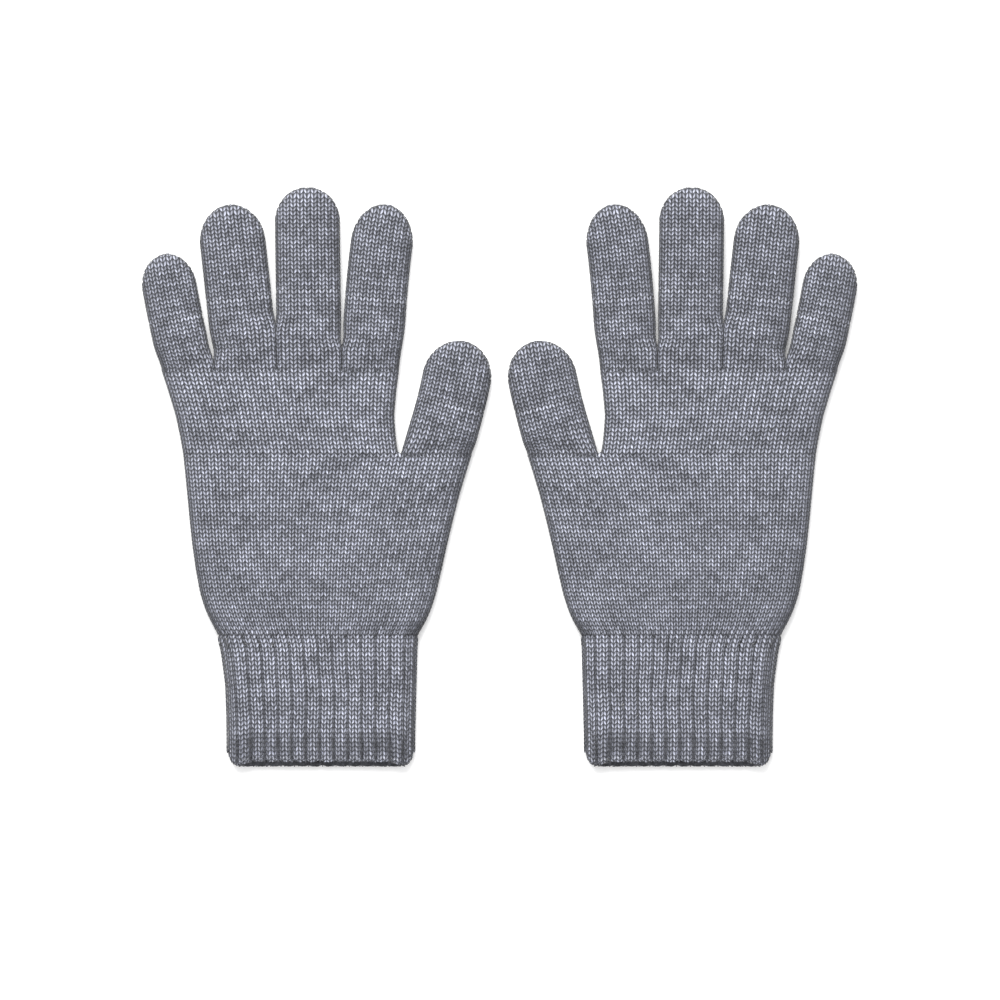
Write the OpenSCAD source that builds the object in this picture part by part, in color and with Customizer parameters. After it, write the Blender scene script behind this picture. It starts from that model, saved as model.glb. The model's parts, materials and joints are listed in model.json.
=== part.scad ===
// A pair of knitted gloves with ribbed cuffs, lying flat with the palms up.
// Each glove is a hollow shell: a ribbed cuff, a palm knitted in two sections,
// and five digit tubes that bend at the knuckle line and again at a middle joint.
// X runs across the pair, Y towards the fingertips, Z up from the table.

/* [Pair] */
// Distance between the centre lines of the two middle fingers
pair_spacing = 173; // [170:1:220]

/* [Fabric] */
// Thickness of a glove lying flat
thickness = 10; // [9:0.5:12]
// Thickness of one layer of knitting
fabric = 2.3; // [1.8:0.1:2.5]
// Height of the side folds above the table
fold_height = 4; // [3.5:0.25:4.5]
// How far the rounding of a side fold reaches inwards
fold_reach = 15; // [13:0.5:16]
// Gap left where one section bends against the next
joint_gap = 0.4; // [0.3:0.05:0.6]

/* [Digits] */
// Little finger: base centre X, fingertip X, fingertip Y
little = [-53.7, -62.8, 100.6]; // [-70:0.1:110]
// Little finger: width at the base, width along it, sideways bow
little_shape = [23.4, 25, -1.3]; // [-3:0.1:27]
// Ring finger: base centre X, fingertip X, fingertip Y
ring = [-27.2, -35.5, 122.6]; // [-40:0.1:130]
// Ring finger: width at the base, width along it, sideways bow
ring_shape = [26.6, 28.6, 0.2]; // [-3:0.1:30]
// Middle finger: base centre X, fingertip X, fingertip Y
middle = [1.2, -0.2, 130.5]; // [-5:0.1:140]
// Middle finger: width at the base, width along it, sideways bow
middle_shape = [27.7, 28.7, 0]; // [-3:0.1:30]
// Index finger: base centre X, fingertip X, fingertip Y
index = [29, 34.2, 122.6]; // [25:0.1:130]
// Index finger: width at the base, width along it, sideways bow
index_shape = [25.2, 28.4, -0.3]; // [-3:0.1:30]
// Thumb: base centre X, fingertip X, fingertip Y
thumb = [57.9, 67.5, 61.6]; // [50:0.1:75]
// Thumb: width at the base, width along it, sideways bow
thumb_shape = [32.2, 31.4, 2.4]; // [-3:0.1:34]
// Share of a digit's length below its middle joint
joint_share = 0.42; // [0.38:0.01:0.46]

/* [Palm and cuff] */
// Course line where the four fingers start
knuckle_y = 48.6; // [46:0.2:52]
// Course line where the thumb starts
thumb_fork_y = 10.4; // [8:0.2:12]
// Course line where the palm meets the ribbed cuff
wrist_y = -70.7; // [-74:0.1:-68]
// Course line where the cast-on edge starts
edge_y = -123.5; // [-125:0.5:-118]
// Lowest point of the cast-on edge, on the layer that lies on the table
hem_y = -130.5; // [-134:0.5:-129]
// How much shorter the upper layer of the cuff is
hem_step = 4; // [0:0.5:5]

/* [Fork stitches] */
// Radius of the yarn darned across each fork
darn_r = 0.3; // [0.2:0.05:0.35]
// Length of the darned strands
darn_length = 2.2; // [1.5:0.1:3]
// Heights of the strands above the table
darn_heights = [3, 4.2, 5.4, 6.6]; // [2:0.1:8]

/* [Hidden] */
SIDES = ["left", "right"];
PIECES = ["little_base", "little_tip", "ring_base", "ring_tip", "middle_base", "middle_tip",
          "index_base", "index_tip", "thumb_base", "thumb_tip",
          "upper_palm", "lower_palm", "fork_stitches", "cuff", "cuff_edge"];

quarter_steps = 5;       // points on each quarter of a cross-section
base_rings = 4;          // rings along a digit's lower section
straight_rings = 3;      // rings from the middle joint to the rounded fingertip
tip_turns = [20, 40, 58, 72, 82]; // degrees round the fingertip, one ring each
fold_power = 0.82;       // roundness of the side folds; 1 would be an ellipse
flat_gain = 1.25;        // how early the underside reaches the table
ease = 0.3;              // share of a digit over which its rings turn to its lean
jersey = "#85888f";
ribbing = "#7f828a";
edge_yarn = "#6f727a";

// Edges of the palm and cuff: [Y, X of the little-finger side, X of the thumb side].
upper_edges = [
    [thumb_fork_y, -55.8, 41.2],
    [28, -59.2, 39.4],
    [knuckle_y, -65.6, 41.6]
];
lower_edges = [
    [wrist_y, -39.8, 49.6],
    [-64, -43.6, 53.8],
    [-52, -48.2, 58.2],
    [-30, -51.8, 63.2],
    [-8, -54, 68.6],
    [thumb_fork_y, -55.8, 74.2]
];
cuff_edges = [
    [edge_y, -35.6, 48],
    [-96, -36.2, 48.6],
    [wrist_y, -39.4, 49.2]
];
hem_edges = [
    [hem_y, -30.5, 42.5],
    [-128.6, -33.8, 46],
    [edge_y, -35.6, 48]
];

function mix(a, b, t) = a + (b - a) * t;
function smooth(t) = t <= 0 ? 0 : t >= 1 ? 1 : t * t * (3 - 2 * t);

// Shares of the cross-section's half width and half height, once round it from the thumb side.
turns = [for (i = [0 : 4 * quarter_steps - 1]) 90 * i / quarter_steps];
function rounded(c) = sign(c) * pow(abs(c), fold_power);

// One cross-section at `centre`, turned by `turn` degrees in the table's plane.
// inset moves it inwards by a fabric thickness, and rise scales its height at a fingertip.
// slope pushes the upper layer along Y, as at the hem.
function section(centre, turn, half_width, inset = 0, rise = 1, slope = 0) =
    let (half = half_width - inset,
         reach = min(fold_reach, half),
         up = (thickness - fold_height - inset) * rise,
         down = fold_height - inset)
    [for (a = turns)
        let (flat = cos(a) > 0.001 ? half - reach : cos(a) < -0.001 ? reach - half : 0,
             x = flat + reach * rounded(cos(a)),
             s = rounded(sin(a)),
             z = fold_height + (s > 0 ? up * s : -down * min(1, -s * flat_gain * rise)))
        [centre.x + x * cos(turn), centre.y + x * sin(turn) + slope * z, z]];

// A closed shell between outer and inner sections; a closed tip has a cap on each.
module knit_shell(outer, inner, closed_tip = false) {
    n = len(outer[0]);
    mo = len(outer);
    mi = len(inner);
    start = mo * n;
    side_out = [for (r = [0 : mo - 2]) for (i = [0 : n - 1]) let (j = (i + 1) % n)
        each [[r * n + i, (r + 1) * n + j, r * n + j], [r * n + i, (r + 1) * n + i, (r + 1) * n + j]]];
    side_in = [for (r = [0 : mi - 2]) for (i = [0 : n - 1]) let (j = (i + 1) % n)
        each [[start + r * n + i, start + r * n + j, start + (r + 1) * n + j],
              [start + r * n + i, start + (r + 1) * n + j, start + (r + 1) * n + i]]];
    rim_first = [for (i = [0 : n - 1]) let (j = (i + 1) % n)
        each [[i, j, start + j], [i, start + j, start + i]]];
    last_out = (mo - 1) * n;
    last_in = start + (mi - 1) * n;
    rim_last = [for (i = [0 : n - 1]) let (j = (i + 1) % n)
        each [[last_out + i, last_in + j, last_out + j], [last_out + i, last_in + i, last_in + j]]];
    caps = [[for (i = [n - 1 : -1 : 0]) last_out + i], [for (i = [0 : n - 1]) last_in + i]];
    polyhedron([for (r = outer) each r, for (r = inner) each r],
               concat(side_out, side_in, rim_first, closed_tip ? caps : rim_last));
}

// A digit is [start Y, [base X, tip X, tip Y], [base width, width, bow]].
little_finger = [knuckle_y, little, little_shape];
ring_finger = [knuckle_y, ring, ring_shape];
middle_finger = [knuckle_y, middle, middle_shape];
index_finger = [knuckle_y, index, index_shape];
thumb_digit = [thumb_fork_y, thumb, thumb_shape];
fingers = [little_finger, ring_finger, middle_finger, index_finger];

function spine(d, t) = [mix(d[1][0], d[1][1], t) + d[2][2] * 4 * t * (1 - t), mix(d[0], d[1][2], t)];
function spine_length(d) = norm(spine(d, 1) - spine(d, 0));
function lean(d, t) = atan2(d[1][1] - d[1][0] + 4 * d[2][2] * (1 - 2 * t), d[1][2] - d[0]);
function ring_turn(d, t) = -lean(d, t) * smooth(t / ease);
function half_width(d, t) = mix(d[2][0], d[2][1], smooth(t / ease)) / 2;
function tip_start(d) = 1 - d[2][1] / 2 / spine_length(d);
function along(d, t, distance) = t + distance / spine_length(d);
function straight_section(d, t, inset = 0) =
    section(spine(d, t), ring_turn(d, t), half_width(d, t), inset);

function round_section(d, turn, inset = 0) =
    let (r = d[2][1] / 2 - inset,
         t = along(d, tip_start(d), r * sin(turn)))
    section(spine(d, t), ring_turn(d, t), r * cos(turn) + inset, inset, rounded(cos(turn)));

// From the knuckle line to the middle joint.
module digit_base(d) {
    first = along(d, 0, joint_gap / 2);
    last = along(d, joint_share, -joint_gap / 2);
    stations = [for (i = [0 : base_rings - 1]) mix(first, last, i / (base_rings - 1))];
    color(jersey)
        knit_shell([for (t = stations) straight_section(d, t)],
                   [for (t = stations) straight_section(d, t, fabric)]);
}

// From the middle joint to the closed fingertip.
module digit_tip(d) {
    first = along(d, joint_share, joint_gap / 2);
    stations = [for (i = [0 : straight_rings - 1]) mix(first, tip_start(d), i / (straight_rings - 1))];
    color(jersey)
        knit_shell(concat([for (t = stations) straight_section(d, t)],
                          [for (a = tip_turns) round_section(d, a)]),
                   concat([for (t = stations) straight_section(d, t, fabric)],
                          [for (a = tip_turns) round_section(d, a, fabric)]),
                   closed_tip = true);
}

// A point on the smooth curve through stations i and i + 1.
function curve_point(p, i, t) =
    let (a = p[max(i - 1, 0)], b = p[i], c = p[i + 1], d = p[min(i + 2, len(p) - 1)])
    b + (c - a) * t / 2 + (a * 2 - b * 5 + c * 4 - d) * t * t / 2 + (b * 3 - c * 3 + d - a) * t * t * t / 2;
function finer(p) = concat([for (i = [0 : len(p) - 2]) each [p[i], curve_point(p, i, 0.5)]], [p[len(p) - 1]]);

function wide_section(e, inset = 0, slope = 0) =
    section([(e[1] + e[2]) / 2, e[0]], 0, (e[2] - e[1]) / 2, inset, 1, slope);

// Sections of the palm or cuff, shortened at either end where it bends against its neighbour.
module wide_shell(edges, gap_low = 0, gap_high = 0) {
    last = len(edges) - 1;
    low = edges[0] + [gap_low, 0, 0];
    high = edges[last] - [gap_high, 0, 0];
    all = finer([for (i = [0 : last]) i == 0 ? low : i == last ? high : edges[i]]);
    knit_shell([for (e = all) wide_section(e)], [for (e = all) wide_section(e, fabric)]);
}

module upper_palm() { color(jersey) wide_shell(upper_edges, 0, joint_gap / 2); }

module lower_palm() { color(jersey) wide_shell(lower_edges, joint_gap / 2, joint_gap / 2); }

module cuff() { color(ribbing) wide_shell(cuff_edges, 0, joint_gap / 2); }

// The upper layer of the hem is shorter than the lower one, so its ring leans.
module cuff_edge() {
    n = len(hem_edges) - 1;
    slopes = [for (i = [0 : n]) hem_step / thickness * (n - i) / n];
    color(edge_yarn)
        knit_shell([for (i = [0 : n]) wide_section(hem_edges[i], 0, slopes[i])],
                   [for (i = [0 : n]) wide_section(hem_edges[i], fabric, slopes[i])]);
}

// Strands of yarn darned at the foot of each fork, in the gap between two digits.
module darn(x, y) {
    for (z = darn_heights)
        translate([x, y, z]) rotate([-90, 0, 0]) cylinder(h = darn_length, r = darn_r, $fn = 24);
}

function fork_x(a, b) = (a[1][0] + a[2][0] / 2 + b[1][0] - b[2][0] / 2) / 2;

module fork_stitches() {
    color(edge_yarn) {
        for (i = [0 : len(fingers) - 2])
            darn(fork_x(fingers[i], fingers[i + 1]), knuckle_y - joint_gap / 2);
        darn((upper_edges[0][2] + thumb[0] - thumb_shape[0] / 2) / 2, thumb_fork_y);
    }
}

module little_base() digit_base(little_finger);
module little_tip() digit_tip(little_finger);
module ring_base() digit_base(ring_finger);
module ring_tip() digit_tip(ring_finger);
module middle_base() digit_base(middle_finger);
module middle_tip() digit_tip(middle_finger);
module index_base() digit_base(index_finger);
module index_tip() digit_tip(index_finger);
module thumb_base() digit_base(thumb_digit);
module thumb_tip() digit_tip(thumb_digit);

module sub_part(piece) {
    if (piece == "little_base") little_base();
    if (piece == "little_tip") little_tip();
    if (piece == "ring_base") ring_base();
    if (piece == "ring_tip") ring_tip();
    if (piece == "middle_base") middle_base();
    if (piece == "middle_tip") middle_tip();
    if (piece == "index_base") index_base();
    if (piece == "index_tip") index_tip();
    if (piece == "thumb_base") thumb_base();
    if (piece == "thumb_tip") thumb_tip();
    if (piece == "upper_palm") upper_palm();
    if (piece == "lower_palm") lower_palm();
    if (piece == "fork_stitches") fork_stitches();
    if (piece == "cuff") cuff();
    if (piece == "cuff_edge") cuff_edge();
}

// The left glove lies at negative X, and the right one is its mirror image.
module placed(side) {
    if (side == "left") translate([-pair_spacing / 2, 0, 0]) children();
    if (side == "right") mirror([1, 0, 0]) translate([-pair_spacing / 2, 0, 0]) children();
}

for (side = SIDES, piece = PIECES)
    placed(side) sub_part(piece);
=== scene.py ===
import json
import math

import bmesh
import bpy
import numpy as np
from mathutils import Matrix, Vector


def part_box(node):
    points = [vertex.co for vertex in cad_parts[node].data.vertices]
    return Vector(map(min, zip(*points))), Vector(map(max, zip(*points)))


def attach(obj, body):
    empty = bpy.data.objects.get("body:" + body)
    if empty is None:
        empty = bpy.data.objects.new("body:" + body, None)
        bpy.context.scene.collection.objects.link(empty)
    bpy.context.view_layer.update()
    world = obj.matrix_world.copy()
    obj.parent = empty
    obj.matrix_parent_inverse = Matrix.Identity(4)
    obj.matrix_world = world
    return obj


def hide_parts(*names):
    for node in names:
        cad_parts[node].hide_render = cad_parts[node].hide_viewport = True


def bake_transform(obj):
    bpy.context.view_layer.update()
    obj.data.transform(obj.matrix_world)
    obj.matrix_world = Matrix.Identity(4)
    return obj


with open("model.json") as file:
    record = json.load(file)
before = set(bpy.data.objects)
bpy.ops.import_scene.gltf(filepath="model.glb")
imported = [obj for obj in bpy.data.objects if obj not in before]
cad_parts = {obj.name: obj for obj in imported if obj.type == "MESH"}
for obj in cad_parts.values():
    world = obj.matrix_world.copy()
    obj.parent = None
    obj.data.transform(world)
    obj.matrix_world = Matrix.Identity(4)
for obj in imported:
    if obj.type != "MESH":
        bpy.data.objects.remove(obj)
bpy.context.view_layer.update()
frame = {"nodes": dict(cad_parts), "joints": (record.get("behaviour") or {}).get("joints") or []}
joints = {joint["name"]: joint for joint in frame["joints"]}

# the lying fabric, and sizes read from the frame: lines across the glove, digit spines, edges

fabric = {
    "foldHeight": 0.0042,     # height of the side folds
    "foldReach": 0.0095,      # how far an open fold's rounding reaches in
    "closedReach": 0.0022,    # the same where two digits lie against each other
    "creaseFill": 0.95,       # how full the crease between such digits is
    "proud": 0.0006,          # how far the stitches stand past the outline's own shell
    "top": 0.0092,            # upper layer before the stitches stand out of it
    "bottom": 0.0011,         # lower layer before the stitches stand out of it
    "wall": 0.0019,           # thickness of one layer
    "rowsPerCourse": 4,       # mesh rows in a course of stitches
    "columnsPerWale": 6,      # mesh columns in a wale, three for each leg of a stitch
    "legSlope": 0.8,          # courses that a stitch's leg climbs from the wale's middle to its side
    "lumpHeight": 0.0005,     # soft waves in the lying fabric
    "lowerFold": 1.5,         # the lower layer's rounding is this many times shorter
    "mergeDistance": 2e-6,    # points closer than this become one
    "foldSteps": 65,          # points at which a fold's curve is measured
}
frameReading = {
    "step": 0.002,            # distance between the lines at which edges are read
    "margin": 1e-5,           # the first and last line lie this far inside
    "apexBand": 0.0003,       # points this near a digit's end are its apex
    "jointBand": 0.001,       # points this near a joint give the width there
}
tiny = 1e-9                   # keeps a division by a width clear of zero
knuckleY = joints["left_middle_finger_bend"]["pos_m"][1]
forkY = joints["left_thumb_bend"]["pos_m"][1]
wristY = joints["left_wrist_bend"]["pos_m"][1]
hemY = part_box("left_cuff_edge")[0].y


def meshPoints(node):
    mesh = frame["nodes"][node].data
    points = np.zeros(len(mesh.vertices) * 3)
    mesh.vertices.foreach_get("co", points)
    return points.reshape(-1, 3)


def meshEdges(node):
    mesh = frame["nodes"][node].data
    ends = np.zeros(len(mesh.edges) * 2, int)
    mesh.edges.foreach_get("vertices", ends)
    return ends.reshape(-1, 2)


def smoothStep(t):
    t = np.clip(t, 0, 1)
    return t * t * (3 - 2 * t)


def mix(a, b, share):
    return a + (b - a) * share


def edgesAlong(nodes):
    # left and right edge of some nodes on a row of lines across Y
    low = min(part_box(node)[0].y for node in nodes) + frameReading["margin"]
    high = max(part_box(node)[1].y for node in nodes) - frameReading["margin"]
    lines = np.linspace(low, high, int((high - low) / frameReading["step"]) + 2)
    left, right = np.full(len(lines), np.inf), np.full(len(lines), -np.inf)
    for node in nodes:
        points, ends = meshPoints(node), meshEdges(node)
        a, b = points[ends[:, 0]], points[ends[:, 1]]
        for i, y in enumerate(lines):
            crossing = (a[:, 1] - y) * (b[:, 1] - y) < 0
            if not crossing.any():
                continue
            p, q = a[crossing], b[crossing]
            x = p[:, 0] + (q[:, 0] - p[:, 0]) * (y - p[:, 1]) / (q[:, 1] - p[:, 1])
            left[i], right[i] = min(left[i], x.min()), max(right[i], x.max())
    known = right > left
    return lines[known], left[known], right[known]


def edgesAt(outline, y):
    lines, left, right = outline
    return np.interp(y, lines, left) + fabric["proud"], np.interp(y, lines, right) - fabric["proud"]


def digitFromFrame(word, node, fullness=1.0, lean=0.0):
    # fullness widens the digit above its root, and lean moves its tip across
    bend, curl = joints[f"left_{word}_bend"], joints[f"left_{word}_curl"]
    start, middle = np.array(bend["pos_m"][:2]), np.array(curl["pos_m"][:2])
    across = np.array(curl["axis"][:2])
    along = np.array([-across[1], across[0]])
    base, tip = meshPoints(f"left_{node}_base"), meshPoints(f"left_{node}_tip")
    distance = (tip[:, :2] - middle) @ along
    apex = tip[distance > distance.max() - frameReading["apexBand"]][:, :2].mean(0)
    nearMiddle = tip[distance < frameReading["jointBand"]][:, :2] @ across
    nearStart = base[base[:, 1] < start[1] + frameReading["jointBand"]][:, 0]
    return {
        "start": start, "apex": apex,
        "spine": np.polyfit([start[1], middle[1], apex[1]], [start[0], middle[0], apex[0]], 2),
        "length": float(np.linalg.norm(apex - start)) - fabric["proud"],
        "middle": float(np.linalg.norm(middle - start)),
        "startHalf": float(np.ptp(nearStart)) / 2 - fabric["proud"],
        "half": float(np.ptp(nearMiddle)) / 2 * fullness - fabric["proud"],
        "lean": lean,
    }


digits = {
    "little": digitFromFrame("little_finger", "little"),
    "ring": digitFromFrame("ring_finger", "ring", fullness=1.05),
    "middle": digitFromFrame("middle_finger", "middle", fullness=1.035),
    "index": digitFromFrame("index_finger", "index", lean=0.0020),
    "thumb": digitFromFrame("thumb", "thumb"),
}
outlines = {
    "upperPalm": edgesAlong(["left_upper_palm"]),
    "lowerPalm": edgesAlong(["left_lower_palm"]),
    "cuff": edgesAlong(["left_cuff", "left_cuff_edge"]),
}
print("frame read:", {name: round(digit["length"], 4) for name, digit in digits.items()})

# cross-section of the lying tube: flat layers, with a quarter ellipse at each side


def foldTable(reach):
    # arc length against angle along the quarter ellipse
    rise = fabric["top"] - fabric["foldHeight"]
    angles = np.linspace(0, math.pi / 2, fabric["foldSteps"])
    steps = np.hypot(np.diff(reach * np.sin(angles)), np.diff(rise * np.cos(angles)))
    return {"reach": reach, "angles": angles, "arcs": np.concatenate([[0], np.cumsum(steps)])}


openFold, closedFold = foldTable(fabric["foldReach"]), foldTable(fabric["closedReach"])


def arcHalf(half, fold):
    # length of the fabric from the middle of a layer to its fold
    return half - fold["reach"] + fold["arcs"][-1]


def foldedAcross(share, half, fold):
    # place across for a point that lies `share` of the way along the fabric to the fold
    arc = np.abs(share) * arcHalf(half, fold)
    flat = half - fold["reach"]
    bent = flat + fold["reach"] * np.sin(np.interp(arc - flat, fold["arcs"], fold["angles"]))
    return np.sign(share) * np.where(arc <= flat, arc, bent)


def acrossAt(share, half, close):
    return mix(foldedAcross(share, half, openFold), foldedAcross(share, half, closedFold), close)


def dome(distance, reach):
    # 0 at a fold and 1 where the fabric lies flat
    inward = 1 - np.clip(distance / reach, 0, 1)
    return np.sqrt(1 - inward ** 2)


# radians per metre across and along, and phase, of the waves that add up to soft lumps
lumpWaves = [(61, 23, 0.3), (-37, 54, 1.7), (92, -71, 4.1), (18, 107, 2.6), (133, 41, 0.9), (-88, 126, 5.2)]


def lumps(x, y):
    return sum(np.sin(x * a + y * b + phase) for a, b, phase in lumpWaves) / len(lumpWaves)


def layerHeight(x, y, distance, isFront, close):
    # height of a layer, and how far it has swelled from the fold
    fold, fill = fabric["foldHeight"], fabric["creaseFill"]
    closed = mix(dome(distance, fabric["closedReach"]), 1, fill)
    front = mix(dome(distance, fabric["foldReach"]), closed, close)
    back = mix(dome(distance, fabric["foldReach"] / fabric["lowerFold"]), closed, close)
    swell = np.where(isFront, front, back)
    top = fabric["top"] + fabric["lumpHeight"] * lumps(x, y) * front ** 3
    return fold + (np.where(isFront, top, fabric["bottom"]) - fold) * swell, swell


def layerPlace(turn):
    # part of a turn round the tube, from its left fold over the front -> -1 to 1 across, and which layer
    turn = turn % 1.0
    isFront = turn < 0.5
    return np.where(isFront, turn * 4 - 1, 3 - turn * 4), isFront


# how the digits meet: neighbours lie against each other up to these heights above the knuckle line

forks = {     # height, and the length over which the gap opens
    ("little", "ring"): (0.0022, 0.0100),
    ("ring", "middle"): (0.0170, 0.0100),
    ("middle", "index"): (0.0085, 0.0080),
}
forkLead = 0.12          # part of that length that lies below the fork
thumbClosing = 0.0075    # length over which the thumb parts from the palm
rootShare = 0.3          # part of a digit over which it takes its own width and direction


def spinePoint(digit, s):
    t = s / digit["length"]
    rise = digit["apex"][1] - digit["start"][1]
    y = digit["start"][1] + rise * t
    x = np.polyval(digit["spine"], y) + digit["lean"] * t ** 4
    slope = np.polyval(np.polyder(digit["spine"]), y) + digit["lean"] * 4 * t ** 3 / rise
    return x, y, np.arctan(slope) * smoothStep(t / rootShare)


def halfWidth(digit, s):
    return mix(digit["startHalf"], digit["half"], smoothStep(s / digit["length"] / rootShare))


def neighbourGap(pair, s):
    left, right = digits[pair[0]], digits[pair[1]]
    gapStart = spinePoint(left, s)[0] + halfWidth(left, s)
    return spinePoint(right, s)[0] - halfWidth(right, s) - gapStart


def digitSide(name, s, side):
    # width from the spine to one side, and how closed the fork is there
    half, close = halfWidth(digits[name], s), np.zeros(np.shape(s))
    for pair, (height, length) in forks.items():
        if name == pair[1 - side]:
            close = 1 - smoothStep((s - height) / length + forkLead)
            half = half + neighbourGap(pair, s) / 2 * close
    if name == "thumb" and side == 0:
        close = 1 - smoothStep(s / thumbClosing)
    return half, close


def palmSideClose(share, y):
    # the palm's side fold is closed where it meets the thumb
    return np.where(share > 0, 1 - smoothStep((y - forkY) / thumbClosing), 0.0)


# a mesh whose rows and columns follow the stitches


def makeGrid(wales, firstCourse, lastCourse, place, sink=None):
    # place() gives points for wales, courses, places on a leg and a distance into the fabric
    perCourse, perWale = fabric["rowsPerCourse"], fabric["columnsPerWale"]
    columns = np.arange(wales * perWale)
    rows = np.arange(firstCourse * perCourse, lastCourse * perCourse + 1)
    column, row = np.meshgrid(columns, rows)
    wale, course = column / perWale, row / perCourse
    legPlace = np.abs(wale % 1.0 * 2 - 1)       # 1 at the wale's side, 0 in its middle
    skipColumns, skipRows = perWale // 2, perCourse * 2
    innerRows = np.unique(np.append(np.arange(0, len(rows), skipRows), len(rows) - 1))
    innerColumns = np.arange(0, len(columns), skipColumns)
    pick = np.ix_(innerRows, innerColumns)
    return {
        "outer": place(wale, course, legPlace, 0.0),
        "inner": place(wale[pick], course[pick], legPlace[pick], fabric["wall"]),
        "wale": wale,
        "course": course,
        "legPlace": legPlace,
        "innerWale": wale[pick],
        "innerCourse": course[pick],
        "skipColumns": skipColumns,
        "ribSink": np.zeros(wale.shape) if sink is None else sink(wale, course),
    }


def ringFaces(offset, rowCount, columnCount, inward):
    index = offset + np.arange(rowCount * columnCount).reshape(rowCount, columnCount)
    nextColumn = np.roll(index, -1, axis=1)
    a, b, c, d = index[:-1], nextColumn[:-1], nextColumn[1:], index[1:]
    order = (a, b, c, d) if inward else (a, d, c, b)
    return np.stack([corner.ravel() for corner in order], axis=1).tolist()


facingStrength = 1000      # makes a stored direction outweigh the mesh's own normal


def endDirections(outer, innerCount, closedEnd):
    # which way the shell faces at its open ends, where a rim would tilt the mesh's own normals
    directions = np.zeros(outer.shape)
    openEnds = [(0, outer[1] - outer[0])]
    if not closedEnd:
        openEnds.append((-1, outer[-1] - outer[-2]))
    for row, along in openEnds:
        around = np.roll(outer[row], -1, axis=0) - np.roll(outer[row], 1, axis=0)
        directions[row] = np.cross(around, along)
    lengths = np.linalg.norm(directions, axis=-1, keepdims=True)
    directions = directions / np.maximum(lengths, tiny ** 2) * facingStrength
    return np.concatenate([directions.reshape(-1, 3), np.zeros((innerCount, 3))])


def knitMesh(name, grid, closedEnd):
    outer, inner = grid["outer"], grid["inner"]
    rowCount, columnCount = outer.shape[:2]
    innerRowCount, innerColumnCount = inner.shape[:2]
    start = rowCount * columnCount
    points = np.concatenate([outer.reshape(-1, 3), inner.reshape(-1, 3)])
    faces = ringFaces(0, rowCount, columnCount, False)
    faces += ringFaces(start, innerRowCount, innerColumnCount, True)
    roundFaces = len(faces)
    skip = grid["skipColumns"]
    ends = [(0, start, False)]
    if not closedEnd:
        ends.append(((rowCount - 1) * columnCount, start + (innerRowCount - 1) * innerColumnCount, True))
    for outerRow, innerRow, isLast in ends:
        for i in range(innerColumnCount):
            outerRun = [outerRow + (i * skip + k) % columnCount for k in range(skip + 1)]
            rim = outerRun + [innerRow + (i + 1) % innerColumnCount, innerRow + i]
            faces.append(rim[::-1] if isLast else rim)
    mesh = bpy.data.meshes.new(name)
    mesh.from_pydata(points.tolist(), [], faces)
    innerCount = inner.size // 3
    fields = {
        "legPlace": (grid["legPlace"], 1.0),
        "course": (grid["course"], 0.0),
        "wale": (grid["wale"], 0.0),
        "outside": (np.ones(outer.shape[:2]), 0.0),
        "ribSink": (grid["ribSink"], 0.0),
    }
    for attributeName, (field, innerValue) in fields.items():
        attribute = mesh.attributes.new(attributeName, "FLOAT", "POINT")
        values = np.concatenate([field.ravel(), np.full(innerCount, innerValue)])
        attribute.data.foreach_set("value", values)
    facing = mesh.attributes.new("facing", "FLOAT_VECTOR", "POINT")
    facing.data.foreach_set("vector", endDirections(outer, innerCount, closedEnd).ravel())
    setKnitUv(mesh, grid)
    mesh.polygons.foreach_set("use_smooth", np.arange(len(mesh.polygons)) < roundFaces)    # flat rims
    return mesh


def setKnitUv(mesh, grid):
    # the map's unit is one wale across and one course along
    wale = np.concatenate([grid["wale"].ravel(), grid["innerWale"].ravel()])
    course = np.concatenate([grid["course"].ravel(), grid["innerCourse"].ravel()])
    corners = np.zeros(len(mesh.loops), int)
    mesh.loops.foreach_get("vertex_index", corners)
    u, v = wale[corners], course[corners]
    starts = np.zeros(len(mesh.polygons), int)
    mesh.polygons.foreach_get("loop_start", starts)
    faceHighest = np.repeat(np.maximum.reduceat(u, starts), np.diff(np.append(starts, len(corners))))
    around = round(wale.max() + 0.5)
    u = np.where(faceHighest - u > around / 2, u + around, u)     # the column that closes the round
    layer = mesh.uv_layers.new(name="knitMap")
    layer.data.foreach_set("uv", np.stack([u, v], axis=1).ravel())


def mergeDoubles(mesh):
    editing = bmesh.new()
    editing.from_mesh(mesh)
    bmesh.ops.remove_doubles(editing, verts=editing.verts, dist=fabric["mergeDistance"])
    editing.to_mesh(mesh)
    editing.free()


# fingers, thumb and palm: wales run along them, courses across

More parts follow.
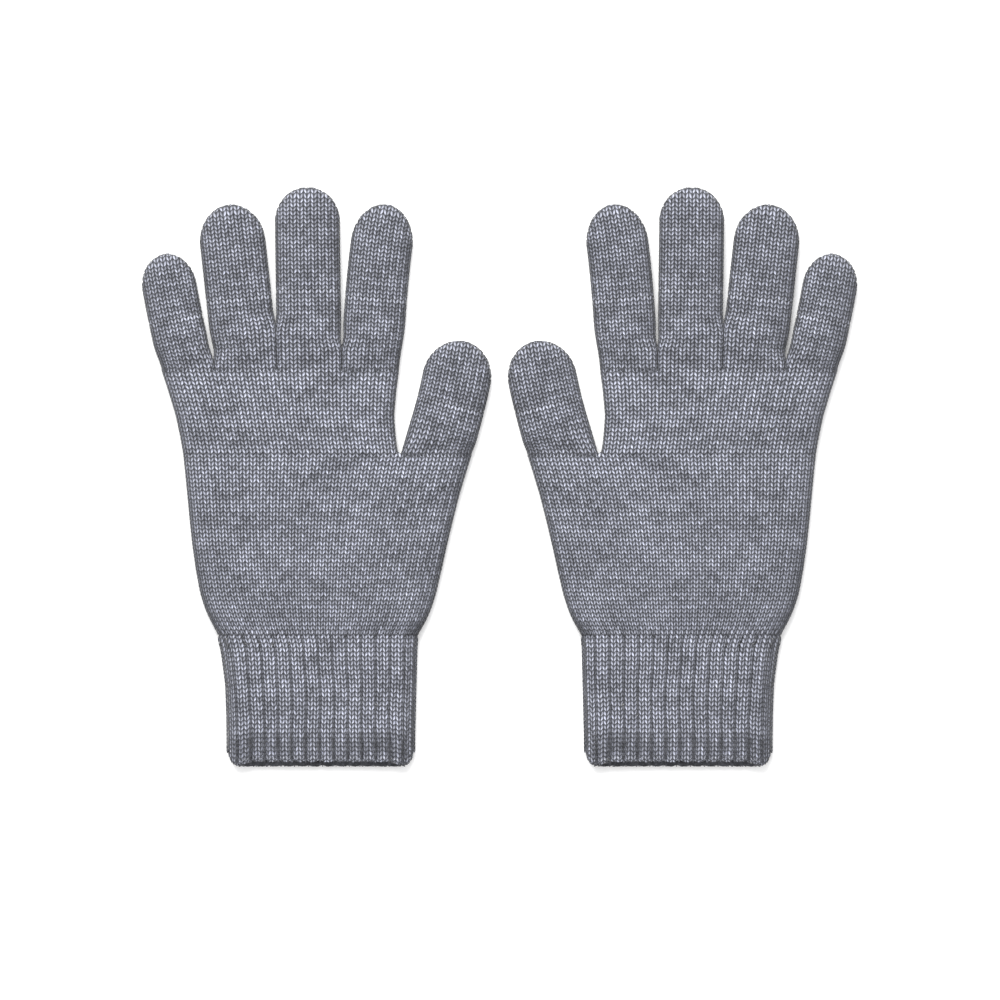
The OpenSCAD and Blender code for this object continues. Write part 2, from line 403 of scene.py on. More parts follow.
digitKnit = {
    "coursePitch": 0.00184,
    "endZone": 0.0045,        # length at the apex over which the rows draw together
    "wales": {"little": 19, "ring": 21, "middle": 21, "index": 21, "thumb": 23},
    # length of the rounded tip, as times half the width
    "tipLengths": {"little": 1.2, "ring": 1.15, "middle": 1.02, "index": 1.25, "thumb": 1.1},
}
palmKnit = {"upperCourses": 20, "lowerCourses": 43}
ribKnit = {
    "ribs": 28,
    "courses": 28,
    "purlShare": 0.12,        # part of a rib's width that its purl wale takes
    "firstCourse": 2,         # the ribs begin this many courses above the wrist
    "rampCourses": 4,         # courses over which they form
    "frontEnd": 0.0024,       # how much shorter the upper layer is
    "cornerSpan": 0.012,      # distance from the sides over which the layers part
    "cornerWidth": 0.0050,    # the hem's corners are round, this wide and high
    "cornerHeight": 0.0068,
    "hemLift": 0.0008,        # how far above the frame's end the lower layer ends
    "straightEnd": 0.0090,    # the sides run straight over this length above the hem
    "wristBlend": 3,          # courses over which the cuff draws in from the palm's width
    "hemTop": 0.0070,         # height of the upper layer at its end
    "hemCourses": 7,          # courses over which it comes down
    "lift": 0.0003,           # how far the lower layer is raised, to rest on its ribs
    "scallop": 0.0006,        # how far the hem draws in between the ribs
    "wander": 0.00015,        # how far ribs stray from straight, in these waves along and from rib to rib
    "wanderWaves": [(95, 0.7), (210, -0.4)],
    "purlDepth": 0.8,         # how deep the purl wale lies
    "purlShape": 0.5,         # lower is a flatter bottom with steeper sides
    "rounding": 0.2,          # how far the knitted wales round down to it
    "wallShare": 0.85,        # the ribs keep this part of the wall
}
# each digit starts inside the palm, and a palm section's last course lies under the next section
tuck = {"courses": 2, "sink": 0.0011, "margin": 0.0007, "steepness": 1.2}
palmTuck = {"sink": 0.0009, "steepness": 3}
lowerWales = ribKnit["ribs"] * 3


def palmHalf(name):
    left, right = edgesAt(outlines[name], forkY)
    return (right - left) / 2


fabricShare = arcHalf(palmHalf("upperPalm"), openFold) / arcHalf(palmHalf("lowerPalm"), openFold)
upperWales = round(lowerWales * fabricShare)


def closeToEnd(s, length):
    # rows lie closer together towards the apex
    zone = digitKnit["endZone"]
    left = np.clip(length - s, 0, zone)
    return np.where(s > length - zone, length - left ** 1.5 / zone ** 0.5, s)


def placeDigit(name, palm, waleShift):
    digit = digits[name]
    wales, pitch = digitKnit["wales"][name], digitKnit["coursePitch"]
    tipLength = digit["half"] * digitKnit["tipLengths"][name]
    lastFlat = digit["length"] - tipLength

    def place(wale, course, legPlace, inset):
        length = digit["length"] - inset
        plain = closeToEnd(course * pitch, length)
        zigzag = closeToEnd((course + fabric["legSlope"] * legPlace) * pitch, length)
        share, isFront = layerPlace((wale + waleShift) / wales)
        # in the tip, a column that has met the outline goes on along it
        outline = digit["half"] * np.sqrt(np.clip(1 - ((plain - lastFlat) / tipLength) ** 2, 0, 1))
        onOutline = (plain > lastFlat) & (np.abs(acrossAt(share, digit["half"], 0.0)) >= outline)
        s = np.where(onOutline | (plain >= length), plain, zigzag)
        (leftHalf, leftClose), (rightHalf, rightClose) = (digitSide(name, s, side) for side in (0, 1))
        half, close = np.where(share < 0, leftHalf, rightHalf), np.where(share < 0, leftClose, rightClose)
        tipShare = np.maximum(s - lastFlat, 0) / tipLength
        limit = half * np.sqrt(np.clip(1 - tipShare ** 2, 0, 1))
        across = np.clip(acrossAt(share, half, close), -limit, limit)
        distance = (1 - np.minimum(np.hypot(across / half, tipShare), 1)) * half
        across = across * np.maximum(limit - inset, 0) / np.maximum(limit, tiny)
        x, y, turn = spinePoint(digit, np.maximum(s, 0))
        z, swell = layerHeight(x + across, y, distance, isFront, close)
        sink = inset + tuck["sink"] * smoothStep(-s / pitch * tuck["steepness"])
        z = z + np.where(isFront, -sink, sink) * swell
        x, y = x + across * np.cos(turn), y + np.minimum(s, 0) - across * np.sin(turn)
        left, right = edgesAt(palm, y)
        tucked = np.clip(x, left + tuck["margin"], right - tuck["margin"])
        return np.stack([np.where(s < 0, tucked, x), y, z], axis=-1)

    return place


def placePalm(outline, wales, yHigh, pitch, courses, above, sideClose):
    # courses count down from the upper end as negative numbers
    # the lower end is `above` courses above the wrist
    def place(wale, course, legPlace, inset):
        y = yHigh + (course + fabric["legSlope"] * legPlace) * pitch
        left, right = edgesAt(outline, y)
        half, centre = (right - left) / 2, (right + left) / 2
        rib = np.floor(wale / 3) + ribShare(wale, course + courses + above)
        share, isFront = layerPlace(rib * 3 / wales)
        across = acrossAt(share, half, 0.0)
        z, swell = layerHeight(centre + across, y, half - np.abs(across), isFront, sideClose(share, y))
        sink = inset + palmTuck["sink"] * smoothStep((-course - courses) * palmTuck["steepness"])
        z = z + np.where(isFront, -sink, sink) * swell
        return np.stack([centre + across * (1 - inset / half), y, z], axis=-1)

    return place


def ribForm(course):
    # courses count from the wrist, negative below it
    return smoothStep((ribKnit["firstCourse"] - course) / ribKnit["rampCourses"])


def ribShare(wale, course):
    # place in a rib, from 0 to 1: two knitted wales and a purl wale that narrows as the rib forms
    purl = mix(1 / 3, ribKnit["purlShare"], ribForm(course))
    within = wale % 3.0
    return np.where(within < 2, within * (1 - purl) / 2, 1 - (3 - within) * purl)


def ribSink(wale, course):
    # the purl wale lies low, and the knitted ones round down to it
    within = wale % 3.0
    hollow = np.sin(np.clip(within - 2, 0, 1) * math.pi) ** ribKnit["purlShape"]
    purl = np.where(within > 2, hollow, 0.0) * ribKnit["purlDepth"]
    rounding = ribKnit["rounding"] * np.minimum(np.abs(within - 1), 1) ** 3
    return (purl + rounding) * ribForm(course)


def placeCuff(wale, course, legPlace, inset):
    ribs, courses = ribKnit["ribs"], ribKnit["courses"]
    share, isFront = layerPlace((np.floor(wale / 3) + ribShare(wale, course)) / ribs)
    depth = wristY - hemY
    straightFrom = hemY + ribKnit["straightEnd"]
    cuffEdges = edgesAt(outlines["cuff"], np.maximum(wristY + course / courses * depth, straightFrom))
    palmEdges = edgesAt(outlines["lowerPalm"], wristY)
    drawnIn = smoothStep(-course / ribKnit["wristBlend"])
    left, right = (mix(palmEdge, cuffEdge, drawnIn) for palmEdge, cuffEdge in zip(palmEdges, cuffEdges))
    half, centre = (right - left) / 2, (right + left) / 2
    across = acrossAt(share, half, 0.0)
    distance = half - np.abs(across)
    parting = np.where(isFront, smoothStep(distance / ribKnit["cornerSpan"]), 0.0)
    inCorner = np.clip(1 - distance / ribKnit["cornerWidth"], 0, 1)
    corner = ribKnit["cornerHeight"] * (1 - np.sqrt(1 - inCorner ** 2))
    end = hemY + ribKnit["hemLift"] + ribKnit["frontEnd"] * parting + corner
    end = end + ribKnit["scallop"] * (1 - np.sin(np.clip(wale % 3.0 / 2, 0, 1) * math.pi))
    y = wristY + (course + fabric["legSlope"] * legPlace) * (wristY - end) / courses
    y = np.maximum(y, end)
    rib = np.floor(wale / 3)
    stray = sum(np.sin(y * alongTurn + rib * ribTurn) for alongTurn, ribTurn in ribKnit["wanderWaves"])
    onLayer = np.minimum(distance / fabric["foldReach"], 1)
    across = across + ribKnit["wander"] * stray * onLayer * drawnIn
    z, swell = layerHeight(centre + across, y, distance, isFront, 0.0)
    closing = smoothStep((-course - courses + ribKnit["hemCourses"]) / ribKnit["hemCourses"])
    lowered = np.where(isFront, (fabric["top"] - ribKnit["hemTop"]) * closing, ribKnit["lift"])
    sink = inset * ribKnit["wallShare"] + lowered
    z = z + np.where(isFront, -sink, sink) * swell
    return np.stack([centre + across * (1 - inset / half), y, z], axis=-1)


def knitPieces():
    upperCourses, lowerCourses = palmKnit["upperCourses"], palmKnit["lowerCourses"]
    upperPitch, lowerPitch = (knuckleY - forkY) / upperCourses, (forkY - wristY) / lowerCourses
    upperPlace = placePalm(outlines["upperPalm"], upperWales, knuckleY, upperPitch, upperCourses,
                           lowerCourses, palmSideClose)
    lowerPlace = placePalm(outlines["lowerPalm"], lowerWales, forkY, lowerPitch, lowerCourses,
                           0, lambda share, y: 0.0)
    grids = {
        "upperPalm": makeGrid(upperWales, -upperCourses - 1, 0, upperPlace),
        "lowerPalm": makeGrid(lowerWales, -lowerCourses - 1, 0, lowerPlace,
                              lambda wale, course: ribSink(wale, course + lowerCourses)),
        "cuff": makeGrid(lowerWales, -ribKnit["courses"] - 1, 0, placeCuff, ribSink),
    }
    for name, digit in digits.items():
        palm, palmWales = ("lowerPalm", lowerWales) if name == "thumb" else ("upperPalm", upperWales)
        left, right = edgesAt(outlines[palm], digit["start"][1] - frameReading["jointBand"])
        # the digit's middle takes up the palm's wales
        perLength = palmWales / 4 / arcHalf((right - left) / 2, openFold)
        centreWale = palmWales / 4 + (digit["start"][0] - (left + right) / 2) * perLength
        wales = digitKnit["wales"][name]
        place = placeDigit(name, outlines[palm], (wales / 4 - centreWale) % 1.0)
        middleCourse = round(digit["middle"] / digitKnit["coursePitch"])
        lastCourse = math.ceil(digit["length"] / digitKnit["coursePitch"])
        grids[name + "Base"] = makeGrid(wales, -tuck["courses"], middleCourse, place)
        grids[name + "Tip"] = makeGrid(wales, middleCourse, lastCourse, place)
    meshes = {name: knitMesh(name, grid, name.endswith("Tip")) for name, grid in grids.items()}
    for name, mesh in meshes.items():
        if name == "cuff" or name.endswith("Tip"):
            mergeDoubles(mesh)
    return meshes


baseMeshes = knitPieces()
print("plain shells:", {name: len(mesh.polygons) for name, mesh in baseMeshes.items()})

# stitches stand out of the plain shells, and painted shade for the inside and the sunk rib wales is stored
# with them

stitchSizes = {
    "Relief": 0.00105,         # height of a stitch
    "Roundness": 0.65,         # lower is a fuller strand
    "Leg End": 0.05,           # fullness left at the ends of a leg
    "Unevenness": 0.35,        # how much the height of stitches varies
    "Jitter": 0.00030,         # how far stitches stray from their places
    "Rib Depth": 0.0009,       # how deep the sunk wales of the ribs lie
    "Bed Level": 0.4,          # part of the relief that lies below the plain shell
    "Inside Light": 0.3,       # painted shade: how light the inside is painted against the outside
    "Rib Shade": 0.35,         # painted shade: how much darker the sunk wales are painted
}


def woolTree(name, sizes):
    # a node tree with geometry, named sizes and a material as inputs, and helpers to fill it
    tree = bpy.data.node_groups.new(name, "GeometryNodeTree")
    tree.interface.new_socket("Geometry", in_out="INPUT", socket_type="NodeSocketGeometry")
    for socketName, value in sizes.items():
        kind = "NodeSocketInt" if isinstance(value, int) else "NodeSocketFloat"
        tree.interface.new_socket(socketName, in_out="INPUT", socket_type=kind)
    tree.interface.new_socket("Material", in_out="INPUT", socket_type="NodeSocketMaterial")
    tree.interface.new_socket("Geometry", in_out="OUTPUT", socket_type="NodeSocketGeometry")
    return tree, tree.nodes.new("NodeGroupInput")


def plug(tree, value, socket):
    if isinstance(value, (int, float)):
        socket.default_value = value
    else:
        tree.links.new(value, socket)


def maths(tree, operation, *values):
    node = tree.nodes.new("ShaderNodeMath")
    node.operation = operation
    for value, socket in zip(values, node.inputs):
        plug(tree, value, socket)
    return node.outputs[0]


def vectorOf(tree, x, y, z):
    node = tree.nodes.new("ShaderNodeCombineXYZ")
    for value, socket in zip((x, y, z), node.inputs):
        plug(tree, value, socket)
    return node.outputs[0]


def vectorMaths(tree, operation, a, b=None, scale=None):
    node = tree.nodes.new("ShaderNodeVectorMath")
    node.operation = operation
    tree.links.new(a, node.inputs[0])
    if b is not None:
        tree.links.new(b, node.inputs[1])
    if scale is not None:
        plug(tree, scale, node.inputs["Scale"])
    return node.outputs[0]


def whiteNoise(tree, vector):
    node = tree.nodes.new("ShaderNodeTexWhiteNoise")
    node.noise_dimensions = "2D"
    tree.links.new(vector, node.inputs["Vector"])
    return node


def finishTree(tree, start, geometry):
    realize = tree.nodes.new("GeometryNodeRealizeInstances")
    tree.links.new(geometry, realize.inputs[0])
    paint = tree.nodes.new("GeometryNodeSetMaterial")
    tree.links.new(realize.outputs[0], paint.inputs["Geometry"])
    tree.links.new(start.outputs["Material"], paint.inputs["Material"])
    tree.links.new(paint.outputs[0], tree.nodes.new("NodeGroupOutput").inputs[0])


def stitchTree():
    tree, start = woolTree("stitchRelief", stitchSizes)

    def named(name):
        node = tree.nodes.new("GeometryNodeInputNamedAttribute")
        node.data_type = "FLOAT"
        node.inputs["Name"].default_value = name
        return node.outputs["Attribute"]

    # across a course: a round strand; along the leg: full in its middle and tucked in at its ends
    phase = maths(tree, "FRACT", named("course"))
    strand = maths(tree, "POWER", maths(tree, "SINE", maths(tree, "MULTIPLY", phase, math.pi)),
                   start.outputs["Roundness"])
    fromMiddle = maths(tree, "ABSOLUTE", maths(tree, "MULTIPLY_ADD", named("legPlace"), 2.0, -1.0))
    legFull = maths(tree, "SUBTRACT", 1.0, maths(tree, "POWER", fromMiddle, 2.0))
    aboveEnd = maths(tree, "MULTIPLY", legFull, maths(tree, "SUBTRACT", 1.0, start.outputs["Leg End"]))
    leg = maths(tree, "ADD", start.outputs["Leg End"], aboveEnd)
    stand = maths(tree, "MULTIPLY", strand, leg)
    legNumber = vectorOf(tree, maths(tree, "FLOOR", maths(tree, "MULTIPLY", named("wale"), 2.0)),
                         maths(tree, "FLOOR", named("course")), 0.0)
    chance = whiteNoise(tree, legNumber)
    uneven = maths(tree, "MULTIPLY_ADD", maths(tree, "SUBTRACT", chance.outputs["Value"], 0.5),
                   start.outputs["Unevenness"], 1.0)
    sunk = maths(tree, "MULTIPLY", named("ribSink"), start.outputs["Rib Depth"])
    relief = start.outputs["Relief"]
    raised = maths(tree, "MULTIPLY", maths(tree, "MULTIPLY", stand, uneven), relief)
    height = maths(tree, "SUBTRACT", raised, sunk)
    centred = maths(tree, "SUBTRACT", height, maths(tree, "MULTIPLY", relief, start.outputs["Bed Level"]))
    facing = tree.nodes.new("GeometryNodeInputNamedAttribute")
    facing.data_type = "FLOAT_VECTOR"
    facing.inputs["Name"].default_value = "facing"
    normal = tree.nodes.new("GeometryNodeInputNormal").outputs[0]
    outwards = vectorMaths(tree, "NORMALIZE", vectorMaths(tree, "ADD", normal, facing.outputs["Attribute"]))
    push = vectorMaths(tree, "SCALE", outwards, scale=maths(tree, "MULTIPLY", centred, named("outside")))
    centre = vectorOf(tree, 0.5, 0.5, 0.5)
    reach = maths(tree, "MULTIPLY", maths(tree, "MULTIPLY", start.outputs["Jitter"], stand), named("outside"))
    anyWay = vectorMaths(tree, "SUBTRACT", chance.outputs["Color"], centre)
    stray = vectorMaths(tree, "SCALE", anyWay, scale=reach)
    move = tree.nodes.new("GeometryNodeSetPosition")
    tree.links.new(start.outputs["Geometry"], move.inputs["Geometry"])
    tree.links.new(vectorMaths(tree, "ADD", push, stray), move.inputs["Offset"])
    # painted shade: 'stand' stores how light a point is painted, darker on the inside and on the sunk rib
    # wales
    keep = tree.nodes.new("GeometryNodeStoreNamedAttribute")
    keep.data_type, keep.domain = "FLOAT", "POINT"
    keep.inputs["Name"].default_value = "stand"
    tree.links.new(move.outputs[0], keep.inputs["Geometry"])
    inside = start.outputs["Inside Light"]
    side = maths(tree, "MULTIPLY_ADD", named("outside"), maths(tree, "SUBTRACT", 1.0, inside), inside)
    ribShade = maths(tree, "MULTIPLY", named("ribSink"), start.outputs["Rib Shade"])
    ribLight = maths(tree, "SUBTRACT", 1.0, ribShade)
    tree.links.new(maths(tree, "MULTIPLY", side, ribLight), keep.inputs["Value"])
    finishTree(tree, start, keep.outputs[0])
    return tree


def socketId(tree, name):
    return next(item.identifier for item in tree.interface.items_tree
                if item.item_type == "SOCKET" and item.in_out == "INPUT" and item.name == name)


def finishedMesh(name, mesh, tree, values):
    holder = bpy.data.objects.new(name, mesh)
    bpy.context.scene.collection.objects.link(holder)
    modifier = holder.modifiers.new("made", "NODES")
    modifier.node_group = tree
    for socketName, value in values.items():
        modifier[socketId(tree, socketName)] = value
    bpy.context.view_layer.update()
    graph = bpy.context.evaluated_depsgraph_get()
    result = bpy.data.meshes.new_from_object(holder.evaluated_get(graph), depsgraph=graph)
    bpy.data.objects.remove(holder)
    return result


# wool: a melange of light and dark fibres, with painted shade down between the stitches

woolColours = {     # before the painted shade in the grooves and the dark fibres darken them
    "palm": (0.442, 0.458, 0.535),
    # painted shade: the digits take a darker copy of the palm's wool
    "digit": (0.398, 0.412, 0.482),
    "rib": (0.492, 0.509, 0.594),
    "edge": (0.52, 0.53, 0.58),
}
woolLook = {
    "Streaks": 0.9,             # light and dark lengths of the yarn
    "Stitch Variation": 0.7,    # single lighter stitches
    "Grain": 1.5,               # fibres
    "Clouds": 0.8,              # wide, soft patches
    "Least Tone": 0.25,         # no fibre is darker than this
    "Groove Shade": 0.9,        # painted shade between the stitches
    "Groove From": 0.2,         # the painted shade fades out between these two heights of a strand
    "Groove To": 0.95,
}
woolPattern = {
    "streakScale": 0.35,        # streaks to a wale
    "courseStep": 7.31,         # steps that set one course's pattern apart from the next
    "fibreCourseStep": 5.3,
    "legStep": 3.7,
    "fibreRun": 1.3,            # fibres across a stitch's leg and along it
    "fibreRows": 5.0,
    "fibreScale": 1.2,
    "cloudScale": 0.1,
    "rareLight": 1.6,           # higher is fewer light stitches
    "strandShape": 0.75,        # lower is a fuller strand
}
woolSurface = {"Roughness": 0.85, "Specular IOR Level": 0.3, "Sheen Weight": 0.5, "Sheen Roughness": 0.4}
woolBump = {"Strength": 0.5, "Distance": 0.00025}


def melangeGroup():
    group = bpy.data.node_groups.new("melangeWool", "ShaderNodeTree")
    group.interface.new_socket("Stitch", in_out="INPUT", socket_type="NodeSocketVector")
    group.interface.new_socket("Painted Light", in_out="INPUT", socket_type="NodeSocketFloat")
    for name in woolLook:
        group.interface.new_socket(name, in_out="INPUT", socket_type="NodeSocketFloat")
    for name in ("Shade", "Fibre Height"):
        group.interface.new_socket(name, in_out="OUTPUT", socket_type="NodeSocketFloat")
    start, end = group.nodes.new("NodeGroupInput"), group.nodes.new("NodeGroupOutput")

    def noise(vector, scale, detail):
        node = group.nodes.new("ShaderNodeTexNoise")
        node.inputs["Scale"].default_value = scale
        node.inputs["Detail"].default_value = detail
        group.links.new(vector, node.inputs["Vector"])
        return maths(group, "SUBTRACT", node.outputs["Fac"], 0.5)

    split = group.nodes.new("ShaderNodeSeparateXYZ")
    group.links.new(start.outputs["Stitch"], split.inputs[0])
    wale, course = split.outputs[0], split.outputs[1]
    courseNumber = maths(group, "FLOOR", course)
    leg = maths(group, "MULTIPLY", wale, 2.0)
    legNumber = maths(group, "FLOOR", leg)
    # every course is its own run of yarn, so its light and dark lengths differ from the next
    runPlace = vectorOf(group, maths(group, "MULTIPLY", wale, woolPattern["streakScale"]),
                        maths(group, "MULTIPLY", courseNumber, woolPattern["courseStep"]), 0.0)
    runShade = noise(runPlace, 1.0, 2.0)
    chance = whiteNoise(group, vectorOf(group, legNumber, courseNumber, 0.0)).outputs["Value"]
    meanLight = 1 / (1 + woolPattern["rareLight"])
    perLeg = maths(group, "SUBTRACT", maths(group, "POWER", chance, woolPattern["rareLight"]), meanLight)
    # fibres are drawn out along the yarn
    onLeg = maths(group, "MULTIPLY", maths(group, "FRACT", leg), woolPattern["fibreRun"])
    alongYarn = maths(group, "MULTIPLY_ADD", legNumber, woolPattern["legStep"], onLeg)
    acrossYarn = maths(group, "MULTIPLY", maths(group, "FRACT", course), woolPattern["fibreRows"])
    ownCourse = maths(group, "MULTIPLY", courseNumber, woolPattern["fibreCourseStep"])
    fibres = noise(vectorOf(group, alongYarn, acrossYarn, ownCourse), woolPattern["fibreScale"], 3.0)
    cloud = noise(start.outputs["Stitch"], woolPattern["cloudScale"], 1.0)
    tone = maths(group, "MULTIPLY_ADD", runShade, start.outputs["Streaks"], 1.0)
    tone = maths(group, "MULTIPLY_ADD", perLeg, start.outputs["Stitch Variation"], tone)
    tone = maths(group, "MULTIPLY_ADD", fibres, start.outputs["Grain"], tone)
    tone = maths(group, "MULTIPLY_ADD", cloud, start.outputs["Clouds"], tone)
    # painted shade: the colour darkens down between the stitches and fades out where a strand is raised; the
    # stored shade from the relief darkens more of it
    strand = maths(group, "SINE", maths(group, "MULTIPLY", maths(group, "FRACT", course), math.pi))
    legBow = maths(group, "SINE", maths(group, "MULTIPLY", maths(group, "FRACT", leg), math.pi))
    raised = maths(group, "MULTIPLY", maths(group, "POWER", strand, woolPattern["strandShape"]), legBow)
    fullness = group.nodes.new("ShaderNodeMapRange")
    fullness.interpolation_type = "SMOOTHSTEP"
    group.links.new(start.outputs["Groove From"], fullness.inputs["From Min"])
    group.links.new(start.outputs["Groove To"], fullness.inputs["From Max"])
    group.links.new(maths(group, "MULTIPLY", raised, start.outputs["Painted Light"]), fullness.inputs["Value"])
    depth = maths(group, "SUBTRACT", 1.0, fullness.outputs[0])
    paintedGrooveShade = maths(group, "SUBTRACT", 1.0, maths(group, "MULTIPLY", depth, start.outputs["Groove Shade"]))
    shade = maths(group, "MULTIPLY", maths(group, "MAXIMUM", tone, start.outputs["Least Tone"]), paintedGrooveShade)
    group.links.new(shade, end.inputs["Shade"])
    group.links.new(fibres, end.inputs["Fibre Height"])
    return group


def woolMaterial(name, colour, group):
    material = bpy.data.materials.new(name + "Wool")
    material.use_nodes = True
    nodes, links = material.node_tree.nodes, material.node_tree.links
    surface = nodes["Principled BSDF"]
    for socketName, value in woolSurface.items():
        surface.inputs[socketName].default_value = value
    stitchMap = nodes.new("ShaderNodeUVMap")
    stitchMap.uv_map = "knitMap"
    # painted shade: the stored 'stand' darkens the inside, the sunk rib wales and the low strands
    stand = nodes.new("ShaderNodeAttribute")
    stand.attribute_name = "stand"
    wool = nodes.new("ShaderNodeGroup")
    wool.node_tree = group
    links.new(stitchMap.outputs[0], wool.inputs["Stitch"])
    links.new(stand.outputs["Fac"], wool.inputs["Painted Light"])
    for socketName, value in woolLook.items():
        wool.inputs[socketName].default_value = value
    tint = nodes.new("ShaderNodeVectorMath")
    tint.operation = "SCALE"
    tint.inputs[0].default_value = colour
    links.new(wool.outputs["Shade"], tint.inputs["Scale"])
    links.new(tint.outputs[0], surface.inputs["Base Color"])
    bump = nodes.new("ShaderNodeBump")
    for socketName, value in woolBump.items():
        bump.inputs[socketName].default_value = value
    links.new(wool.outputs["Fibre Height"], bump.inputs["Height"])
    links.new(bump.outputs[0], surface.inputs["Normal"])
    return material


melange = melangeGroup()
materials = {name: woolMaterial(name, colour, melange) for name, colour in woolColours.items()}
reliefTree = stitchTree()
pieces = {}
for name, mesh in baseMeshes.items():
    material = materials["rib" if name == "cuff" else "palm" if name.endswith("Palm") else "digit"]
    pieces[name] = finishedMesh(name, mesh, reliefTree, stitchSizes | {"Material": material})
print("stitched shells done")

# the cast-on edge: a strand of yarn round the cuff's scalloped end

edgeYarn = {"Radius": 0.00042, "Sides": 8}
edgeSteps = 10        # points of the strand to each rib
edgeDepth = 0.35      # the strand's place in the thickness of the wall


def strandTreeOf():
    tree, start = woolTree("yarnStrand", edgeYarn)
    path = tree.nodes.new("GeometryNodeMeshToCurve")
    tree.links.new(start.outputs["Geometry"], path.inputs["Mesh"])
    ring = tree.nodes.new("GeometryNodeCurvePrimitiveCircle")
    tree.links.new(start.outputs["Sides"], ring.inputs["Resolution"])
    tree.links.new(start.outputs["Radius"], ring.inputs["Radius"])
    tube = tree.nodes.new("GeometryNodeCurveToMesh")
    tree.links.new(path.outputs[0], tube.inputs["Curve"])
    tree.links.new(ring.outputs[0], tube.inputs["Profile Curve"])
    tube.inputs["Fill Caps"].default_value = True
    smooth = tree.nodes.new("GeometryNodeSetShadeSmooth")
    tree.links.new(tube.outputs[0], smooth.inputs["Geometry"])
    finishTree(tree, start, smooth.outputs[0])
    return tree


def pathMesh(name, runs, closed):
    points, edges = [], []
    for run in runs:
        first = len(points)
        points += [tuple(point) for point in run]
        edges += [(i, i + 1) for i in range(first, len(points) - 1)]
        if closed:
            edges.append((len(points) - 1, first))
    mesh = bpy.data.meshes.new(name)
    mesh.from_pydata(points, edges, [])
    return mesh


def castOnRun():
    wale = np.arange(ribKnit["ribs"] * edgeSteps) * 3 / edgeSteps
    course = np.full(wale.shape, -float(ribKnit["courses"]))
    return placeCuff(wale, course, np.ones(wale.shape), fabric["wall"] * edgeDepth)


strandTree = strandTreeOf()
pieces["castOnEdge"] = finishedMesh("castOnEdge", pathMesh("castOnPath", [castOnRun()], True), strandTree,
                                    edgeYarn | {"Material": materials["edge"]})

# darned strands inside the glove that close each fork

darning = {
    "strands": 4,
    "steps": 9,              # points of each strand
    "reach": 0.0016,         # half of its length
    "lowest": 0.0036,        # height of the lowest strand
    "rise": 0.0010,          # from one strand to the next
    "slant": 0.0006,
    "bow": 0.0006,           # how far its ends hang down
}
darnYarn = {"Radius": 0.0004, "Sides": 8}
yarnShade = {
    "twist": 0.003,          # length of two plies of a strand
    "darkBelow": 0.003,      # painted shade: a strand is dark below this height and lightens over the next length
    "darkRise": 0.002,
    "darkest": 0.1,
}


def forkPlaces():
    places = []
    for left, right in forks:
        x = (digits[left]["start"][0] + digits[left]["startHalf"]
             + digits[right]["start"][0] - digits[right]["startHalf"]) / 2
        places.append((x, knuckleY))
    thumbLeft = digits["thumb"]["start"][0] - digits["thumb"]["startHalf"]
    places.append(((edgesAt(outlines["upperPalm"], forkY)[1] + thumbLeft) / 2, forkY))
    return places


def darnRuns():
    runs = []
    for x, y in forkPlaces():
        for strand in range(darning["strands"]):
            slant = darning["slant"] * (1 if strand % 2 else -1)
            level = darning["lowest"] + strand * darning["rise"]
            runs.append([(x + t * darning["reach"], y + slant * t, level - darning["bow"] * t * t)
                         for t in np.linspace(-1, 1, darning["steps"])])
    return runs


pieces["forkStitches"] = finishedMesh("forkStitches", pathMesh("darnPaths", darnRuns(), False), strandTree,
                                      darnYarn | {"Material": materials["edge"]})


def shadeStrand(mesh):
    # gives a strand the map that the wool reads, and painted shade that darkens it low down
    points = np.array([vertex.co for vertex in mesh.vertices])
    corners = np.zeros(len(mesh.loops), int)
    mesh.loops.foreach_get("vertex_index", corners)
    turns = points[corners, 0] / yarnShade["twist"]
    layer = mesh.uv_layers.new(name="knitMap")
    layer.data.foreach_set("uv", np.stack([turns, np.full(len(turns), 0.5)], axis=1).ravel())
    lightness = smoothStep((points[:, 2] - yarnShade["darkBelow"]) / yarnShade["darkRise"])
    attribute = mesh.attributes.new("stand", "FLOAT", "POINT")
    attribute.data.foreach_set("value", mix(yarnShade["darkest"], 1.0, lightness))


shadeStrand(pieces["castOnEdge"])
shadeStrand(pieces["forkStitches"])
print("cast-on edge and darned forks done")

# both gloves: a piece without a joint moves with its body; for a piece at a joint the bend line is worked
# out, but the piece stays where it is

bendZone = 0.014      # length of the line worked out square to each joint
pieceNodes = {
    "upperPalm": ("upper_palm", "hand", None), "lowerPalm": ("lower_palm", "hand", None),
    "forkStitches": ("fork_stitches", "hand", None),
    "cuff": ("cuff", "cuff", "wrist_bend"), "castOnEdge": ("cuff_edge", "cuff", None),
}
for name in digits:
    word = "thumb" if name == "thumb" else name + "_finger"
    pieceNodes[name + "Base"] = (name + "_base", word + "_base", word + "_bend")
    pieceNodes[name + "Tip"] = (name + "_tip", word + "_tip", word + "_curl")


def bendLine(joint):
    # from the joint's line, square to it and away from the palm
    place, axis = np.array(joint["pos_m"]), np.array(joint["axis"])
    direction = np.array([-axis[1], axis[0], 0.0])
    return tuple(place), tuple(place + direction * bendZone)


def mirrored(mesh):
    copy = mesh.copy()
    points = np.zeros(len(copy.vertices) * 3)
    copy.vertices.foreach_get("co", points)
    copy.vertices.foreach_set("co", (points.reshape(-1, 3) * (-1, 1, 1)).ravel())
    copy.flip_normals()
    return copy


for side in ("left", "right"):
    for name, mesh in pieces.items():
        node, body, joint = pieceNodes[name]
        piece = bpy.data.objects.new(f"{side}_{node}_knit", mirrored(mesh) if side == "right" else mesh)
        bpy.context.scene.collection.objects.link(piece)
        if joint:
            hinge = joints[f"{side}_{joint}"]
            start, end = bendLine(hinge)
            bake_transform(piece)
        else:
            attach(piece, f"{side}_{body}")
        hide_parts(f"{side}_{node}")
print("both gloves placed")

# floor, light and camera

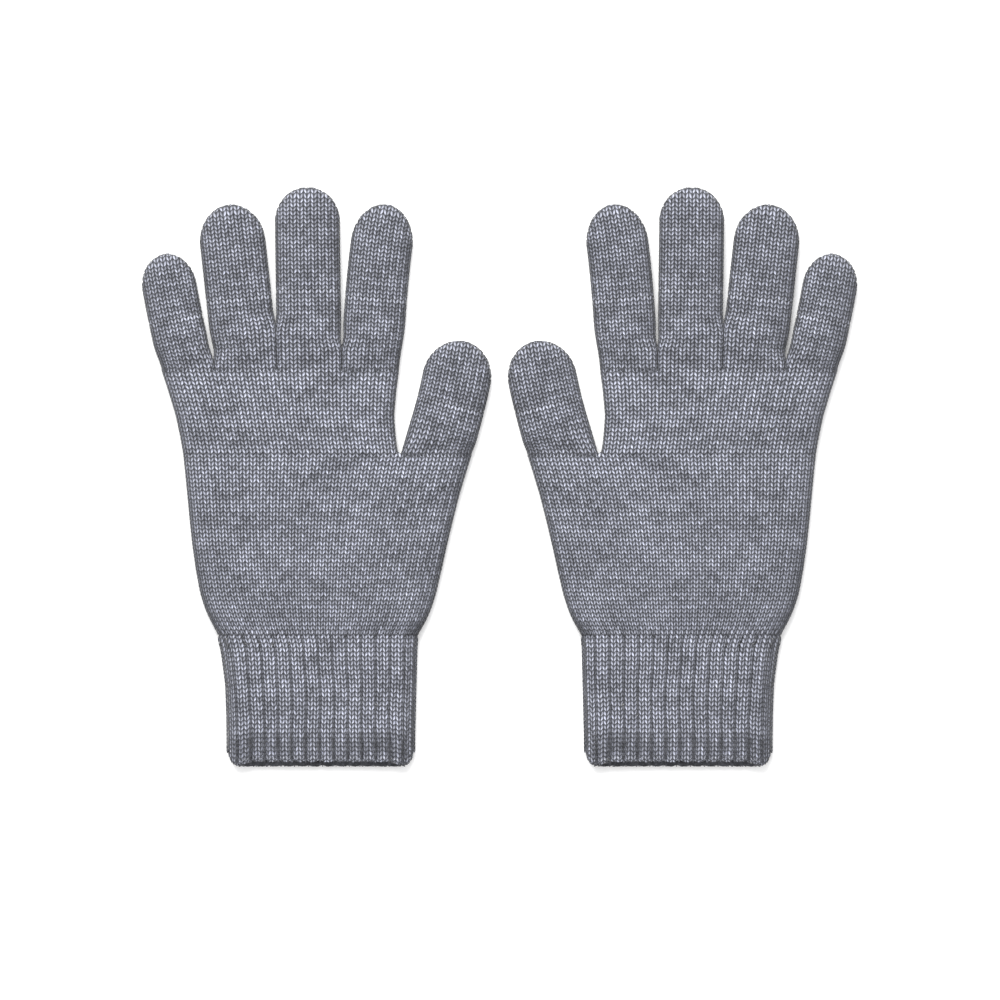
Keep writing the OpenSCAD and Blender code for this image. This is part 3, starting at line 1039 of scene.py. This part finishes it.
studio = {
    "floorSize": 6.0,
    "floorColour": (0.93, 0.93, 0.93, 1),
    "floorGlow": 0.15,
    "floorRoughness": 0.9,
    "floorSpecular": 0.1,
    "worldStrength": 0.95,
    "keyPlace": (-0.25, 1.1, 1.3),
    "keyEnergy": 36.0,
    "keySize": 1.0,
    "viewWidth": 0.45,                    # what the camera takes in across
    "viewCentre": (0.0002, -0.0099),
    "cameraHeight": 2.4,
    "sensorWidth": 36,
    "clipEnd": 20,
}


def addFloor():
    mesh = bpy.data.meshes.new("floor")
    half = studio["floorSize"] / 2
    corners = [(-half, -half, 0), (half, -half, 0), (half, half, 0), (-half, half, 0)]
    mesh.from_pydata(corners, [], [(0, 1, 2, 3)])
    floor = bpy.data.objects.new("floor", mesh)
    bpy.context.scene.collection.objects.link(floor)
    material = bpy.data.materials.new("paleFloor")
    material.use_nodes = True
    surface = material.node_tree.nodes["Principled BSDF"]
    surface.inputs["Base Color"].default_value = studio["floorColour"]
    surface.inputs["Emission Color"].default_value = (1, 1, 1, 1)
    surface.inputs["Emission Strength"].default_value = studio["floorGlow"]
    surface.inputs["Roughness"].default_value = studio["floorRoughness"]
    surface.inputs["Specular IOR Level"].default_value = studio["floorSpecular"]
    mesh.materials.append(material)


def addWorld():
    world = bpy.data.worlds.new("studioWorld")
    world.use_nodes = True
    background = world.node_tree.nodes["Background"]
    background.inputs["Color"].default_value = (1, 1, 1, 1)
    background.inputs["Strength"].default_value = studio["worldStrength"]
    bpy.context.scene.world = world


def addKeyLight():
    light = bpy.data.lights.new("key", "AREA")
    light.energy, light.size = studio["keyEnergy"], studio["keySize"]
    lamp = bpy.data.objects.new("key", light)
    lamp.location = studio["keyPlace"]
    lamp.rotation_euler = Vector(studio["keyPlace"]).to_track_quat("Z", "Y").to_euler()
    bpy.context.scene.collection.objects.link(lamp)


def addCamera():
    lens = bpy.data.cameras.new("camera")
    lens.sensor_width = studio["sensorWidth"]
    lens.lens = lens.sensor_width * studio["cameraHeight"] / studio["viewWidth"]
    lens.clip_end = studio["clipEnd"]
    camera = bpy.data.objects.new("camera", lens)
    camera.location = (*studio["viewCentre"], studio["cameraHeight"])
    bpy.context.scene.collection.objects.link(camera)
    bpy.context.scene.camera = camera
    bpy.context.scene.view_settings.view_transform = "Standard"


addFloor()
addWorld()
addKeyLight()
addCamera()
print("floor, light and camera set")
